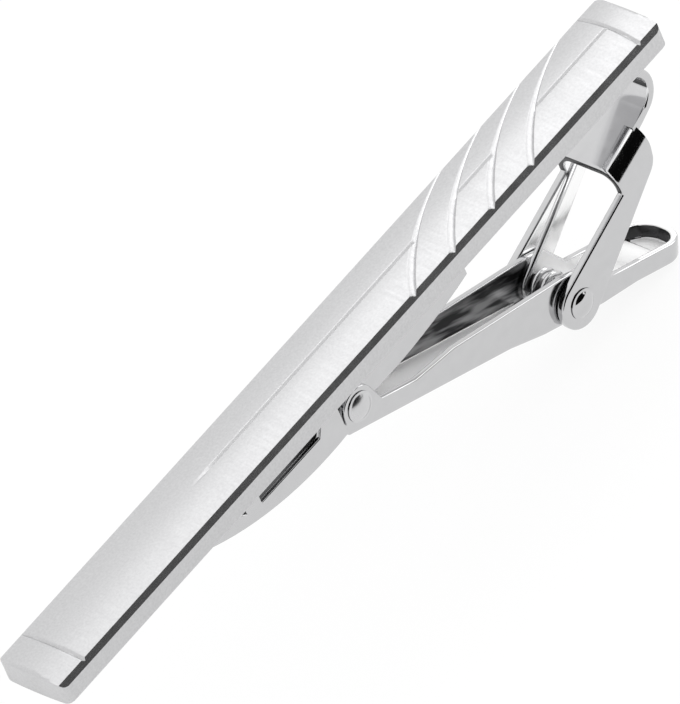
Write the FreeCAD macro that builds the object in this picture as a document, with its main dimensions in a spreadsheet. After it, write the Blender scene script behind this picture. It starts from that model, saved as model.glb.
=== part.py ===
import FreeCAD, Part
import math
import os
import re

import Sketcher

# A pinch tie clip. The frame: origin at the middle of the front bar's flat back, +X along the bar
# towards the hinge end, +Y across the bar, +Z out of the decorated face. Millimetres and degrees.
SIZES = {
    # Front bar: a flat-backed bar with bevelled sides, a low crown and cut ornament.
    "bar_length": 58.0,
    "bar_width": 5.5,
    "bar_side_height": 1.33,
    "bar_bevel": 0.37,
    "bar_crown": 0.22,
    "bar_end_bulge": 0.22,
    "bar_corner_radius": 0.5,
    "bar_end_bevel": 0.36,
    # Ornament: a groove near each end, four curved slanting grooves and a broken middle line.
    "cap_length": 1.8,
    "cap_groove_depth": 0.1,
    "groove_spread": 1.65,
    "groove_reach": 0.6,
    "slant_last": 20.0,
    "slant_spacing": 3.83,
    "slant_count": 4,
    "slant_angle": 30.0,
    "slant_depth": 0.15,
    "slant_peak": 0.5,
    "wheel_radius": 21.6,
    "wheel_tilt": 25.7,
    "wheel_sweep": 50.0,
    "line_start": -12.6,
    "line_depth": 0.13,
    # Pivot of the lever, measured from the middle of the bar's back.
    "pivot_forward": 15.9,
    "pivot_drop": 10.1,
    "pivot_radius": 0.5,
    # Lever: a sheet channel, open towards the bar, built level about its pivot and then tilted.
    "lever_tilt": 23.1,
    "lever_gauge": 0.45,
    "lever_width": 3.9,
    "lever_floor_drop": 1.1,
    "lever_reach": 18.9,
    "jaw_pivot_rise": 0.6,
    "ear_radius": 1.35,
    "ear_foot": 0.85,
    "waist_rise": 0.35,
    "waist_gap": 0.65,
    "waist_length": 3.0,
    "shoulder_rise": 1.12,
    "shoulder_run": 3.3,
    "cheek_rise": 1.87,
    "cheek_half_length": 1.1,
    "rim_rise": 0.3,
    "rim_start": 3.1,
    "tail_length": 10.3,
    "tail_radius": 1.8,
    "floor_bend_radius": 0.3,
    "belly_drop": 1.35,
    "belly_half_length": 2.6,
    "belly_run": 3.0,
    "window_front": 1.75,
    "window_rear": 4.4,
    "hump_start": 5.6,
    "hump_length": 3.0,
    "hump_rise": 0.45,
    # Hinge bracket: one bent strip, soldered under the bar by its foot.
    "bracket_gauge": 0.58,
    "hook_setback": 3.5,
    "hook_radius": 1.9,
    "foot_length": 9.0,
    "strip_width": 4.0,
    "plate_slope": 18.0,
    "arch_reach": 3.8,
    "arch_radius": 1.4,
    "leg_setback": 0.6,
    "leg_lip": 1.8,
    "leg_end_radius": 1.7,
    "knee_radius": 1.4,
    "knee_drop": 3.7,
    # Swivel jaw: a rocking sheet channel whose edges face the bar's back.
    "jaw_gauge": 0.38,
    "jaw_width": 4.5,
    "jaw_nose_length": 13.7,
    "jaw_nose_height": 0.45,
    "jaw_front_drop": 0.58,
    "jaw_front_end": 1.65,
    "jaw_front_radius": 24.0,
    "jaw_shoulder": 0.6,
    "jaw_rear_length": 11.2,
    "jaw_rear_start": 1.6,
    "jaw_rear_drop": 0.75,
    "jaw_rear_height": 1.85,
    "jaw_rear_radius": 40.0,
    "jaw_lug_radius": 0.9,
    "jaw_pivot_radius": 0.45,
    "bite_depth": 1.0,
    "bite_start": 3.1,
    "bite_taper": 0.6,
    "bite_end": 9.25,
    "tooth_length": 1.3,
    "nick_length": 1.0,
    "nick_depth": 0.7,
    # Rivets: plain shanks with domed heads.
    "rivet_head_radius": 1.0,
    "rivet_head_height": 0.36,
    # Torsion spring round the lever's pivot.
    "spring_wire": 0.4,
    "spring_radius": 1.12,
    "spring_extra_turns": 2,
    "spring_ease_share": 0.12,
    "lever_leg_reach": 4.9,
    "lever_leg_drop": 0.28,
    "bracket_leg_reach": 6.3,
    # Clearances, and how far every cut runs past what it cuts.
    "running_clearance": 0.03,
    "side_clearance": 0.08,
    "jaw_clearance": 0.12,
    "spring_clearance": 0.05,
    "overrun": 1.0,
}

doc = FreeCAD.newDocument("tie_clip")
sheet = doc.addObject("Spreadsheet::Sheet", "sizes")
for row, (alias, number) in enumerate(SIZES.items(), start=1):
    sheet.set(f"A{row}", alias)
    sheet.set(f"B{row}", str(number))
    sheet.setAlias(f"B{row}", alias)
doc.recompute()


def bound(text):
    """Point every size named in an expression at its cell in the sheet."""
    return re.sub(r"[a-z]+(?:_[a-z]+)+|overrun", r"sizes.\g<0>", text)


def value(text):
    """Work an expression in named sizes out to a number."""
    result = sheet.evalExpression(bound(text))
    return float(getattr(result, "Value", result))


def new_body(label, x="0", z="0", tilt=None):
    """Start a sub-part whose own origin stands at (x, z) of the clip's frame."""
    body = doc.addObject("PartDesign::Body", label)
    body.Label = label
    turn = FreeCAD.Rotation(FreeCAD.Vector(0, 1, 0), value(tilt) if tilt else 0)
    body.Placement = FreeCAD.Placement(FreeCAD.Vector(value(x), 0, value(z)), turn)
    body.setExpression("Placement.Base.x", bound(x))
    body.setExpression("Placement.Base.z", bound(z))
    if tilt:
        body.setExpression("Placement.Rotation.Angle", bound(tilt))
    return body


def new_sketch(body, plane, name, lift=None):
    """Attach an empty sketch to one of the body's origin planes, lifted along its normal."""
    sketch = body.newObject("Sketcher::SketchObject", name)
    support = next(item for item in body.Origin.OriginFeatures if item.Role == plane + "_Plane")
    sketch.AttachmentSupport = [(support, "")]
    sketch.MapMode = "FlatFace"
    if lift:
        sketch.setExpression("AttachmentOffset.Base.z", bound(lift))
    return sketch


def bind(sketch, kind, places, text):
    """Add a dimension to a sketch and tie it to named sizes."""
    index = sketch.addConstraint(Sketcher.Constraint(kind, *places, value(text)))
    sketch.setExpression(f"Constraints[{index}]", bound(text))


def pin(sketch, edge, spot, x, y):
    """Hold one point of a sketch at a place given in named sizes."""
    bind(sketch, "DistanceX", (-1, 1, edge, spot), x)
    bind(sketch, "DistanceY", (-1, 1, edge, spot), y)


def tangent_line(first, second):
    """The straight edge that leaves one round and reaches the next with both on its left."""
    (x1, y1, r1), (x2, y2, r2) = first, second
    heading = math.atan2(y2 - y1, x2 - x1)
    normal = heading - math.acos((r1 - r2) / math.hypot(x2 - x1, y2 - y1))
    side = FreeCAD.Vector(math.cos(normal), math.sin(normal), 0)
    return FreeCAD.Vector(x1, y1, 0) + side * r1, FreeCAD.Vector(x2, y2, 0) + side * r2


def draw_rounded(sketch, corners):
    """Draw a closed outline, counter-clockwise, of corners (x, y) and rounds (x, y, radius)."""
    texts = [(c[0], c[1], c[2] if len(c) > 2 else "0") for c in corners]
    rounds = [tuple(value(part) for part in text) for text in texts]
    count = len(rounds)
    sides = [tangent_line(rounds[i], rounds[(i + 1) % count]) for i in range(count)]
    lines = [sketch.addGeometry(Part.LineSegment(*side)) for side in sides]
    for i, (x, y, radius) in enumerate(rounds):
        arriving, leaving = lines[i - 1], lines[i]
        if radius == 0:
            sketch.addConstraint(Sketcher.Constraint("Coincident", arriving, 2, leaving, 1))
            pin(sketch, leaving, 1, texts[i][0], texts[i][1])
            continue
        first, last = sides[i - 1][1], sides[i][0]
        circle = Part.Circle(FreeCAD.Vector(x, y, 0), FreeCAD.Vector(0, 0, 1), radius)
        span = (math.atan2(first.y - y, first.x - x), math.atan2(last.y - y, last.x - x))
        arc = sketch.addGeometry(Part.ArcOfCircle(circle, *span))
        pin(sketch, arc, 3, texts[i][0], texts[i][1])
        bind(sketch, "Radius", (arc,), texts[i][2])
        sketch.addConstraint(Sketcher.Constraint("Tangent", arriving, 2, arc, 1))
        sketch.addConstraint(Sketcher.Constraint("Tangent", arc, 2, leaving, 1))


def bowed_edge(start, end, radius):
    """An arc between two points: a positive radius bows to the right of the way it runs."""
    chord = end - start
    left = FreeCAD.Vector(-chord.y, chord.x, 0).normalize() * math.copysign(1, radius)
    centre = (start + end) * 0.5 + left * math.sqrt(radius ** 2 - (chord.Length / 2) ** 2)
    circle = Part.Circle(centre, FreeCAD.Vector(0, 0, 1), abs(radius))
    ends = (start, end) if radius > 0 else (end, start)
    return Part.ArcOfCircle(circle, *(math.atan2(p.y - centre.y, p.x - centre.x) for p in ends))


def draw_bowed(sketch, corners):
    """Draw a closed outline of corners (x, y); a third text bows the edge to the next corner."""
    points = [FreeCAD.Vector(value(c[0]), value(c[1]), 0) for c in corners]
    edges = []
    for i, corner in enumerate(corners):
        start, end = points[i], points[(i + 1) % len(points)]
        if len(corner) == 2:
            edges.append((sketch.addGeometry(Part.LineSegment(start, end)), 1, 2))
            continue
        radius = value(corner[2])
        arc = sketch.addGeometry(bowed_edge(start, end, radius))
        edges.append((arc, 1, 2) if radius > 0 else (arc, 2, 1))
        bind(sketch, "Radius", (arc,), f"abs({corner[2]})")
    for i, corner in enumerate(corners):
        before, after = edges[i - 1], edges[i]
        sketch.addConstraint(Sketcher.Constraint("Coincident", before[0], before[2], after[0], after[1]))
        pin(sketch, after[0], after[1], corner[0], corner[1])


def draw_circle(sketch, x, y, radius):
    """Draw a circle held at its centre."""
    place = FreeCAD.Vector(value(x), value(y), 0)
    circle = sketch.addGeometry(Part.Circle(place, FreeCAD.Vector(0, 0, 1), value(radius)))
    pin(sketch, circle, 3, x, y)
    bind(sketch, "Radius", (circle,), radius)


def pad(body, sketch, name, length, symmetric=True):
    """Raise a sketch into the solid, to both sides alike or along its normal."""
    feature = body.newObject("PartDesign::Pad", name)
    feature.Profile = sketch
    feature.SideType = "Symmetric" if symmetric else "One side"
    feature.setExpression("Length", bound(length))
    doc.recompute()


def cut(body, sketch, name, length=None, symmetric=True, upward=False):
    """Cut a sketch out of the solid and make sure that the cut took something away."""
    before = body.Tip.Shape.Volume
    feature = body.newObject("PartDesign::Pocket", name)
    feature.Profile = sketch
    feature.SideType = "Symmetric" if symmetric else "One side"
    feature.Reversed = upward
    if length:
        feature.setExpression("Length", bound(length))
    else:
        feature.Type = "ThroughAll"
    doc.recompute()
    if feature.Shape.Volume >= before:
        raise RuntimeError(f"{name} cuts nothing")


def fillet(body, name, radius, wanted):
    """Round the edges of the solid so far that a test picks out."""
    base = body.Tip
    picked = [f"Edge{i}" for i, edge in enumerate(base.Shape.Edges, start=1) if wanted(edge)]
    feature = body.newObject("PartDesign::Fillet", name)
    feature.Base = (base, picked)
    feature.setExpression("Radius", bound(radius))
    doc.recompute()


def runs_along(edge, direction):
    """True for a straight edge that runs along a direction, either way."""
    chord = edge.Vertexes[-1].Point - edge.Vertexes[0].Point
    return abs(chord.dot(direction)) > STRAIGHT_SHARE * edge.Length


def near(first, second):
    """True where two lengths agree to a small share of the bar's length."""
    return abs(first - second) < SAME_SHARE * SIZES["bar_length"]


def hole(body, name, x, z, radius):
    """Drill straight through a sub-part across its width."""
    sketch = new_sketch(body, "XZ", name + "_circle")
    draw_circle(sketch, x, z, radius)
    cut(body, sketch, name)


ACROSS = FreeCAD.Vector(0, 1, 0)
STRAIGHT_SHARE = 0.999
SAME_SHARE = 0.001
UP =FreeCAD.Vector(0, 0, 1)

# Places that several sub-parts share.
PIVOT_HEIGHT = "-pivot_drop"
JAW_PIVOT_X = "(pivot_forward - lever_reach * cos(lever_tilt) + jaw_pivot_rise * sin(lever_tilt))"
JAW_PIVOT_DROP = "(pivot_drop - lever_reach * sin(lever_tilt) - jaw_pivot_rise * cos(lever_tilt))"
ARCH_INSIDE = "(lever_width + 2 * side_clearance)"
ARCH_WIDTH = f"({ARCH_INSIDE} + 2 * bracket_gauge)"
LEVER_INSIDE = "(lever_width - 2 * lever_gauge)"


def front_bar():
    """The decorated bar: a plan outline raised, then crowned, bevelled and engraved."""
    body = new_body("front_bar")
    top = "(bar_side_height + bar_bevel + bar_crown)"
    end_bow = "((bar_width ^ 2 / 4 + bar_end_bulge ^ 2) / (2 * bar_end_bulge))"
    end = "(bar_length / 2 - bar_end_bulge)"
    plan = new_sketch(body, "XY", "bar_plan")
    draw_bowed(plan, [(f"-{end}", "-bar_width / 2"), (end, "-bar_width / 2", end_bow),
                      (end, "bar_width / 2"), (f"-{end}", "bar_width / 2", end_bow)])
    pad(body, plan, "bar_blank", top, symmetric=False)
    fillet(body, "bar_corners", "bar_corner_radius", lambda edge: runs_along(edge, UP))

    shoulder = "(bar_width / 2 - bar_bevel)"
    crown_bow = f"-(({shoulder} ^ 2 + bar_crown ^ 2) / (2 * bar_crown))"
    bevel_top = "bar_side_height + bar_bevel"
    away = "bar_width / 2 + overrun"
    section = new_sketch(body, "YZ", "crown_section")
    draw_bowed(section, [(away, "bar_side_height - overrun"), (away, f"{top} + overrun"),
                         (f"-({away})", f"{top} + overrun"), (f"-({away})", "bar_side_height - overrun"),
                         (f"-{shoulder}", bevel_top, crown_bow), (shoulder, bevel_top)])
    cut(body, section, "crown_and_bevels")

    for side, name in (("-", "left"), ("", "right")):
        tip = f"{side}(bar_length / 2 + overrun)"
        bevel = new_sketch(body, "XZ", f"{name}_end_bevel_section")
        draw_bowed(bevel, [(tip, f"{top} - bar_end_bevel - overrun"), (tip, f"{top} + overrun"),
                           (f"{side}(bar_length / 2 - bar_end_bevel - overrun)", f"{top} + overrun")])
        cut(body, bevel, f"{name}_end_bevel")
        middle = f"{side}(bar_length / 2 - cap_length)"
        apex = "bar_side_height + bar_bevel - cap_groove_depth"
        spread = "groove_spread * groove_reach / 2"
        cap = new_sketch(body, "XZ", f"{name}_cap_groove_section")
        draw_bowed(cap, [(middle, apex), (f"{middle} + {spread}", f"{apex} + groove_reach"),
                         (f"{middle} - {spread}", f"{apex} + groove_reach")])
        cut(body, cap, f"{name}_cap_groove")

    slant_grooves(body, f"{crown_bow}", top)
    first = "slant_last - (slant_count - 1) * slant_spacing"
    stretches = [("line_start", first), ("slant_last - 2 * slant_spacing", "slant_last - slant_spacing"),
                 ("slant_last", "bar_length / 2 - cap_length")]
    for number, (start, stop) in enumerate(stretches, start=1):
        apex = f"{top} - line_depth"
        line = new_sketch(body, "YZ", f"line_{number}_section", lift=stop)
        draw_bowed(line, [("0", apex), ("groove_spread * groove_reach", f"{apex} + groove_reach"),
                          ("-groove_spread * groove_reach", f"{apex} + groove_reach")])
        cut(body, line, f"line_{number}", length=f"{stop} - ({start})", symmetric=False)
    return body


def slant_grooves(body, crown_bow, top):
    """Cut the slanting grooves as a V-edged wheel leaned over the crown would cut them."""
    angle, lean = (math.radians(value(text)) for text in ("slant_angle", "wheel_tilt"))
    across = FreeCAD.Vector(-math.sin(angle), math.cos(angle), 0)
    radial = across * math.cos(lean) + UP * math.sin(lean)
    axle = UP * math.cos(lean) - across * math.sin(lean)
    first = value("slant_last - (slant_count - 1) * slant_spacing")
    peak = value("slant_peak")
    deepest = FreeCAD.Vector(first + peak / math.tan(angle), peak,
                             value(f"{top} - slant_depth") - peak ** 2 / (2 * abs(value(crown_bow))))
    wheel = new_sketch(body, "XY", "wheel_edge")
    wheel.AttachmentOffset = FreeCAD.Placement(
        deepest - radial * value("wheel_radius"),
        FreeCAD.Rotation(radial, axle, radial.cross(axle), "ZXY"))
    rise = ("groove_reach * sin(wheel_tilt)", "groove_reach * cos(wheel_tilt)")
    spread = ("groove_spread * groove_reach * cos(wheel_tilt)",
              "groove_spread * groove_reach * sin(wheel_tilt)")
    draw_bowed(wheel, [("wheel_radius", "0"),
                       (f"wheel_radius + {rise[0]} + {spread[0]}", f"{rise[1]} - {spread[1]}"),
                       (f"wheel_radius + {rise[0]} - {spread[0]}", f"{rise[1]} + {spread[1]}")])
    groove = body.newObject("PartDesign::Groove", "slant_groove")
    groove.Profile = wheel
    groove.ReferenceAxis = (wheel, ["V_Axis"])
    groove.Midplane = True
    groove.setExpression("Angle", bound("wheel_sweep"))
    doc.recompute()
    row = body.newObject("PartDesign::LinearPattern", "slant_row")
    row.Originals = [groove]
    axis = next(item for item in body.Origin.OriginFeatures if item.Role == "X_Axis")
    row.Direction = (axis, [""])
    row.setExpression("Length", bound("(slant_count - 1) * slant_spacing"))
    row.setExpression("Occurrences", bound("slant_count"))
    body.Tip = row
    doc.recompute()


def hinge_bracket():
    """One bent strip: a foot under the bar, a hook, a sloping plate and two tapered legs."""
    body = new_body("hinge_bracket")
    hook_x = "(bar_length / 2 - hook_setback)"
    hook_inside = "(hook_radius - bracket_gauge)"
    front = f"({hook_x} - arch_reach)"
    rear = f"({hook_x} - leg_setback)"

    def plate(radius, x):
        """Height of the sloping plate's face that carries on from one side of the hook."""
        return f"(-hook_radius - {radius} / cos(plate_slope) - ({hook_x} - {x}) * tan(plate_slope))"

    plate_front = plate(hook_inside, front)
    legs = new_sketch(body, "XZ", "leg_outline")
    draw_rounded(legs, [(front, plate_front), (front, f"{plate_front} - leg_lip"),
                        ("pivot_forward", PIVOT_HEIGHT, "leg_end_radius"),
                        (f"{rear} - knee_radius", "-hook_radius - knee_drop", "knee_radius"),
                        (rear, plate(hook_inside, rear))])
    pad(body, legs, "leg_block", ARCH_WIDTH)
    slope = math.radians(value("plate_slope"))
    slant = FreeCAD.Vector(math.cos(slope), 0, math.sin(slope))
    lowest = value(plate("hook_radius", front))
    fillet(body, "outer_bends", "arch_radius",
           lambda edge: runs_along(edge, slant) and edge.CenterOfMass.z > lowest)
    left = "pivot_forward - 2 * leg_end_radius"
    right = f"{rear} + overrun"
    below = "-pivot_drop - 2 * leg_end_radius"
    inside = new_sketch(body, "XZ", "between_legs")
    draw_bowed(inside, [(left, plate("hook_radius", f"({left})")), (left, below), (right, below),
                        (right, plate("hook_radius", f"({right})"))])
    cut(body, inside, "arch", length=ARCH_INSIDE)
    half = value(ARCH_INSIDE) / 2
    fillet(body, "inner_bends", "arch_radius - bracket_gauge",
           lambda edge: runs_along(edge, slant) and edge.CenterOfMass.z > lowest
           and near(abs(edge.CenterOfMass.y), half))

    turned = ("sin(plate_slope)", "cos(plate_slope)")
    joint = f"({rear} - bracket_gauge / 2)"
    strip = new_sketch(body, "XZ", "strip_profile")
    draw_bowed(strip, [
        (f"{hook_x} - foot_length", "0"), (f"{hook_x} - foot_length", "-bracket_gauge"),
        (hook_x, "-bracket_gauge", f"-{hook_inside}"),
        (f"{hook_x} + {hook_inside} * {turned[0]}", f"-hook_radius - {hook_inside} * {turned[1]}"),
        (joint, plate(hook_inside, joint)), (joint, plate("hook_radius", joint)),
        (f"{hook_x} + hook_radius * {turned[0]}", f"-hook_radius - hook_radius * {turned[1]}",
         "hook_radius"),
        (hook_x, "0")])
    pad(body, strip, "strip", "strip_width")
    hole(body, "rivet_holes", "pivot_forward", PIVOT_HEIGHT, "pivot_radius + running_clearance")
    return body


def lever():
    """The pinch lever: ears for the jaw, cheeks round the spring's window and a rimmed tail."""
    body = new_body("lever", "pivot_forward", PIVOT_HEIGHT, "lever_tilt")
    floor = "-lever_floor_drop"
    waist = "(ear_radius + waist_gap - lever_reach)"
    side = new_sketch(body, "XZ", "lever_outline")
    draw_rounded(side, [
        ("-lever_reach - ear_foot", floor), ("-belly_half_length - belly_run", floor),
        ("-belly_half_length", "-belly_drop"), ("belly_half_length", "-belly_drop"),
        ("belly_half_length + belly_run", floor),
        ("tail_length", floor), ("tail_length", "rim_rise"), ("rim_start", "rim_rise"),
        ("cheek_half_length", "cheek_rise"),
        ("-cheek_half_length", "cheek_rise"), (f"{waist} + waist_length + shoulder_run", "shoulder_rise"),
        (f"{waist} + waist_length", "waist_rise"), (waist, "waist_rise"),
        ("-lever_reach", "jaw_pivot_rise", "ear_radius")])
    pad(body, side, "lever_block", "lever_width")
    end = value("tail_length")
    fillet(body, "tail_round", "tail_radius",
           lambda edge: runs_along(edge, UP) and near(edge.CenterOfMass.x, end))
    level = value(floor)
    fillet(body, "floor_bends", "floor_bend_radius",
           lambda edge: near(edge.CenterOfMass.z, level)
           and (not runs_along(edge, ACROSS) or near(edge.CenterOfMass.x, end)))

    wall = f"{LEVER_INSIDE} / 2"
    corner = ("tail_length - tail_radius", "(lever_width / 2 - tail_radius)", "(tail_radius - lever_gauge)")
    open_end = "-lever_reach - ear_radius - overrun"
    channel = new_sketch(body, "XY", "channel_plan", lift=f"{floor} + lever_gauge")
    draw_rounded(channel, [(open_end, f"-{wall}"), (corner[0], f"-{corner[1]}", corner[2]), corner,
                           (open_end, wall)])
    cut(body, channel, "channel", symmetric=False, upward=True)
    window = new_sketch(body, "XY", "window_plan")
    draw_bowed(window, [("-window_front", f"-{wall}"), ("window_rear", f"-{wall}"),
                        ("window_rear", wall), ("-window_front", wall)])
    cut(body, window, "spring_window")
    inside, rooted = f"{floor} + lever_gauge", f"{floor} + lever_gauge / 2"
    hump_bow = "((hump_length ^ 2 / 4 + hump_rise ^ 2) / (2 * hump_rise))"
    hump = new_sketch(body, "XZ", "hump_outline")
    draw_bowed(hump, [("hump_start", rooted), ("hump_start + hump_length", rooted),
                      ("hump_start + hump_length", inside, hump_bow), ("hump_start", inside)])
    pad(body, hump, "hump", "lever_width - lever_gauge")
    hole(body, "pivot_holes", "0", "0", "pivot_radius + running_clearance")
    hole(body, "ear_holes", "-lever_reach", "jaw_pivot_rise", "jaw_pivot_radius + running_clearance")
    return body


def swivel_jaw():
    """The rocking jaw: a shallow boat-shaped channel with toothed edges and two pivot lugs."""
    body = new_body("swivel_jaw", JAW_PIVOT_X, f"-{JAW_PIVOT_DROP}")
    edge = f"({JAW_PIVOT_DROP} - jaw_clearance)"
    bite, nick = f"{edge} - bite_depth", f"{edge} - nick_depth"
    tooth_end = "-bite_end - tooth_length"
    nick_end = f"{tooth_end} - nick_length"
    block = new_sketch(body, "XZ", "jaw_outline")
    draw_bowed(block, [
        ("-jaw_nose_length", f"{edge} - jaw_nose_height", "jaw_front_radius"),
        ("-jaw_front_end", "-jaw_front_drop"), ("jaw_rear_start", "-jaw_rear_drop", "jaw_rear_radius"),
        ("jaw_rear_length", f"{edge} - jaw_rear_height"), ("jaw_rear_length", edge),
        ("-bite_start", edge), ("-bite_start - bite_taper", bite), ("-bite_end", bite), ("-bite_end", edge),
        (tooth_end, edge), (tooth_end, nick), (nick_end, edge), ("-jaw_nose_length", edge)])
    pad(body, block, "jaw_block", "jaw_width")
    slim = f"({LEVER_INSIDE} / 2 - side_clearance)"
    for name, sign in (("near", "-"), ("far", "")):
        relief = new_sketch(body, "XY", f"{name}_relief_plan")
        draw_bowed(relief, [("-jaw_front_end", f"{sign}{slim}"),
                            ("jaw_rear_length + overrun", f"{sign}{slim}"),
                            ("jaw_rear_length + overrun", f"{sign}(jaw_width / 2 + overrun)"),
                            ("-jaw_front_end", f"{sign}(jaw_width / 2 + overrun)")])
        cut(body, relief, f"{name}_relief")
    lugs = new_sketch(body, "XZ", "lug_outline")
    draw_circle(lugs, "0", "0", "jaw_lug_radius")
    pad(body, lugs, "lugs", f"2 * {slim}")
    shoulder = "-jaw_front_end - jaw_shoulder"
    front = new_sketch(body, "XZ", "front_hollow")
    draw_bowed(front, [("-jaw_nose_length", f"{edge} - jaw_nose_height + jaw_gauge", "jaw_front_radius"),
                       (shoulder, "-jaw_front_drop + jaw_gauge"),
                       (shoulder, f"{edge} + overrun"), ("-jaw_nose_length", f"{edge} + overrun")])
    cut(body, front, "front_channel", length="jaw_width - 2 * jaw_gauge")
    rear = new_sketch(body, "XZ", "rear_hollow")
    draw_bowed(rear, [(shoulder, "-jaw_front_drop + jaw_gauge"),
                      ("-jaw_front_end", "-jaw_front_drop + jaw_gauge"),
                      ("jaw_rear_start", "-jaw_rear_drop + jaw_gauge", "jaw_rear_radius"),
                      ("jaw_rear_length", f"{edge} - jaw_rear_height + jaw_gauge"),
                      ("jaw_rear_length + overrun", f"{edge} + overrun"), (shoulder, f"{edge} + overrun")])
    cut(body, rear, "rear_channel", length=f"2 * ({slim} - jaw_gauge)")
    window = new_sketch(body, "XY", "window_plan")
    inner = f"({slim} - jaw_gauge)"
    draw_bowed(window, [("-jaw_rear_start", f"-{inner}"), ("jaw_rear_start", f"-{inner}"),
                        ("jaw_rear_start", inner), ("-jaw_rear_start", inner)])
    cut(body, window, "pivot_window")
    hole(body, "lug_holes", "0", "0", "jaw_pivot_radius + running_clearance")
    return body


def rivet(label, x, z, shank_radius, grip):
    """A shank with a domed head at each end, turned about its own axis across the clip."""
    body = new_body(label, x, z)
    bow = "((rivet_head_radius ^ 2 + rivet_head_height ^ 2) / (2 * rivet_head_height))"
    face = f"({grip} / 2 + running_clearance)"
    profile = new_sketch(body, "XY", f"{label}_profile")
    draw_bowed(profile, [("0", f"-{face} - rivet_head_height", bow), ("rivet_head_radius", f"-{face}"),
                         (shank_radius, f"-{face}"), (shank_radius, face),
                         ("rivet_head_radius", face, bow), ("0", f"{face} + rivet_head_height")])
    turned = body.newObject("PartDesign::Revolution", f"{label}_turned")
    turned.Profile = profile
    turned.ReferenceAxis = (profile, ["V_Axis"])
    doc.recompute()
    return body


def spring_path():
    """The wire's middle line about its pivot: a leg, turns that ease in and out, and the other leg."""
    radius, wire = value("spring_radius"), value("spring_wire")
    tilt = math.radians(value("lever_tilt"))
    half = value(f"{LEVER_INSIDE} / 2 - spring_wire / 2 - spring_clearance")
    ease = value("spring_ease_share")

    def leg_angles(x, z):
        """Heading to a leg's tip, and how far the leg leans off it to graze the coil."""
        return math.atan2(z, x), math.asin(radius / math.hypot(x, z))

    reach, rise = value("lever_leg_reach"), value("-lever_leg_drop")
    lever_tip = FreeCAD.Vector(reach * math.cos(tilt) + rise * math.sin(tilt), -half,
                               rise * math.cos(tilt) - reach * math.sin(tilt))
    heading, lean = leg_angles(lever_tip.x, lever_tip.z)
    last = heading + lean - math.pi / 2
    over = value("bracket_leg_reach")
    plate = value("-hook_radius - hook_radius / cos(plate_slope) + pivot_drop - tan(plate_slope)"
                  " * (bar_length / 2 - hook_setback - pivot_forward - bracket_leg_reach)")
    bracket_tip = FreeCAD.Vector(over, half, plate - wire / 2 - value("spring_clearance"))
    heading, lean = leg_angles(bracket_tip.x, bracket_tip.z)
    first = heading - lean + math.pi / 2
    turns = (last - first) / (2 * math.pi)
    sweep = 2 * math.pi * (turns - math.floor(turns) + value("spring_extra_turns"))

    def coil(share):
        """Place and heading of the wire at a share of the way along its turns."""
        angle = first + sweep * share
        nearest = min(share, 1 - share, ease)
        done = min(share, 1 - share) - ease / 2 if nearest == ease else nearest ** 2 / (2 * ease)
        done = done if share < 1 / 2 else 1 - ease - done
        along = half - 2 * half * done / (1 - ease)
        climb = -2 * half * nearest / ease / (1 - ease) / sweep
        place = FreeCAD.Vector(radius * math.cos(angle), along, radius * math.sin(angle))
        heading = FreeCAD.Vector(-radius * math.sin(angle), climb, radius * math.cos(angle))
        return place, heading.normalize()

    pieces = math.ceil(sweep / (math.pi / 2))
    stations = [coil(i / pieces) for i in range(pieces + 1)]
    edges = [arc for i in range(pieces) for arc in biarc(*stations[i], *stations[i + 1])]
    start, start_way = stations[0]
    finish, finish_way = stations[-1]
    lead_in = Part.LineSegment(start - start_way * (bracket_tip - start).Length, start)
    lead_out = Part.LineSegment(finish, finish + finish_way * (lever_tip - finish).Length)
    return [lead_in, *edges, lead_out], half * 4 * math.pi / sweep


def biarc(start, start_way, finish, finish_way):
    """Two arcs that join two places of a curve and keep its heading at both."""
    gap = finish - start
    ways = start_way + finish_way
    bend = 2 * (1 - start_way.dot(finish_way))
    reach = (math.sqrt(gap.dot(ways) ** 2 + bend * gap.dot(gap)) - gap.dot(ways)) / bend
    joint = (start + finish + (start_way - finish_way) * reach) * 0.5
    return [arc_by_tangents(start, start + start_way * reach, joint),
            arc_by_tangents(joint, finish - finish_way * reach, finish)]


def arc_by_tangents(start, crossing, finish):
    """The arc between two points whose tangents there meet at a third."""
    middle = (start + finish) * 0.5
    half_chord = (finish - start).Length / 2
    lean = math.acos(half_chord / (crossing - start).Length)
    outwards = (crossing - middle).normalize()
    return Part.Arc(start, middle + outwards * half_chord * math.tan(lean / 2), finish)


def least_gap(edges, wire, pitch):
    """The least clear distance from the wire to itself, measured on points along it."""
    points = []
    travelled = 0.0
    for edge in edges:
        shape = edge.toShape()
        steps = max(2, math.ceil(shape.Length / (wire / 2)))
        points += [(travelled + shape.Length * i / steps, point)
                   for i, point in enumerate(shape.discretize(steps + 1))]
        travelled += shape.Length
    apart = math.pi * pitch
    return min((b - a).Length for i, (s, a) in enumerate(points)
               for (u, b) in points[i + 1:] if u - s > apart) - wire


def torsion_spring():
    """One unbroken wire, wound between the lever's cheeks round the pivot rivet."""
    edges, pitch = spring_path()
    wire = value("spring_wire")
    path = Part.Wire([edge.toShape() for edge in edges])
    start = edges[0].StartPoint
    section = Part.Circle(start, edges[0].EndPoint - start, wire / 2)
    tube = path.makePipeShell([Part.Wire(section.toShape())], True, False)
    spring = doc.addObject("Part::Feature", "torsion_spring")
    spring.Label = "torsion_spring"
    spring.Shape = tube
    spring.Placement = FreeCAD.Placement(FreeCAD.Vector(value("pivot_forward"), 0, value(PIVOT_HEIGHT)),
                                         FreeCAD.Rotation())
    expected = math.pi * (wire / 2) ** 2 * path.Length
    print(f"spring: wire length {path.Length:.2f}, pitch {pitch:.2f}, "
          f"volume {tube.Volume:.4f} of {expected:.4f}, "
          f"least gap to itself {least_gap(edges, wire, pitch):.2f}")
    return spring


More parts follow.
